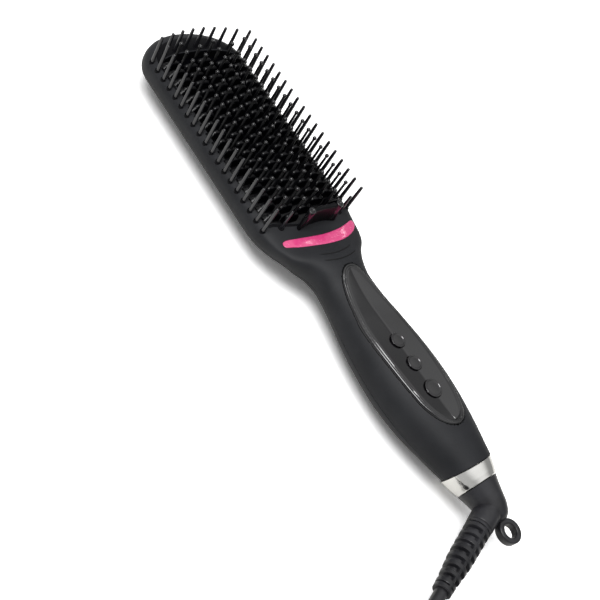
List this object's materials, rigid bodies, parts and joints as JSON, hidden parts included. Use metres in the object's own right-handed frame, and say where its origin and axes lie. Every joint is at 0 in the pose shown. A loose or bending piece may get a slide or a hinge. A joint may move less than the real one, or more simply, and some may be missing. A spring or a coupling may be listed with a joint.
{
  "type": "hair straightening brush",
  "caption": "Heated straightening brush with a flat bristled head, a waisted handle with buttons in a glossy oval panel, and a swivelling mains cord.",
  "frame": {"origin": "middle of the box round the brush without its cord, at the height of the flat that it rests on", "axes": "+Y along the handle towards the free end of the head, +Z along the bristles, X across the head"},
  "size_m": [0.1342, 0.4336, 0.0428],
  "materials": {
    "shell": "soft-touch matt black",
    "gloss": "polished black",
    "bristle": "satin black nylon",
    "accent": "polished metallic pink",
    "steel": "plain",
    "ceramic": "unglazed heater ceramic",
    "board": "solder-masked circuit board",
    "chrome": "polished plating",
    "rubber": "satin black",
    "brass": "plain"
  },
  "bodies": {
    "housing": {"front_shell": "shell", "rear_shell": "shell", "heater_plate": "gloss", "end_guard": "gloss", "control_panel": "gloss", "bristle_sheet": "bristle", "bristle_frame": "bristle", "contact_block": "bristle", "accent_trim": "accent", "switch_upper": "steel", "switch_middle": "steel", "switch_lower": "steel", "thermal_fuse": "steel", "temperature_sensor": "steel", "heat_shield": "steel", "power_capacitor": "steel", "housing_screw_1": "steel", "housing_screw_2": "steel", "housing_screw_3": "steel", "housing_screw_4": "steel", "heater_left": "ceramic", "heater_right": "ceramic", "control_board": "board", "power_board": "board", "end_ring": "chrome", "lead_live": "rubber", "lead_neutral": "rubber"},
    "button_upper": {"button_upper": "gloss"},
    "button_middle": {"button_middle": "gloss"},
    "button_lower": {"button_lower": "gloss"},
    "cord_swivel": {"swivel_elbow": "rubber", "contact_pin": "brass", "strain_relief": "rubber", "cord_run": "rubber", "cord_coil": "rubber", "cord_tail": "rubber", "plug_body": "rubber", "plug_blade_line": "brass", "plug_blade_neutral": "brass"}
  },
  "joints": [
    {"name": "press_upper", "type": "slide", "parent": "housing", "child": "button_upper", "axis": [0, 0, -1], "range_m": [0, 0.0006], "stiffness_N_per_m": 1500, "springref_m": -0.0006},
    {"name": "press_middle", "type": "slide", "parent": "housing", "child": "button_middle", "axis": [0, 0, -1], "range_m": [0, 0.0006], "stiffness_N_per_m": 1500, "springref_m": -0.0006},
    {"name": "press_lower", "type": "slide", "parent": "housing", "child": "button_lower", "axis": [0, 0, -1], "range_m": [0, 0.0006], "stiffness_N_per_m": 1500, "springref_m": -0.0006},
    {"name": "cord_swivel", "type": "hinge", "parent": "housing", "child": "cord_swivel", "pos_m": [0, -0.12955, 0.0181], "axis": [0, -1, 0], "continuous": true}
  ]
}
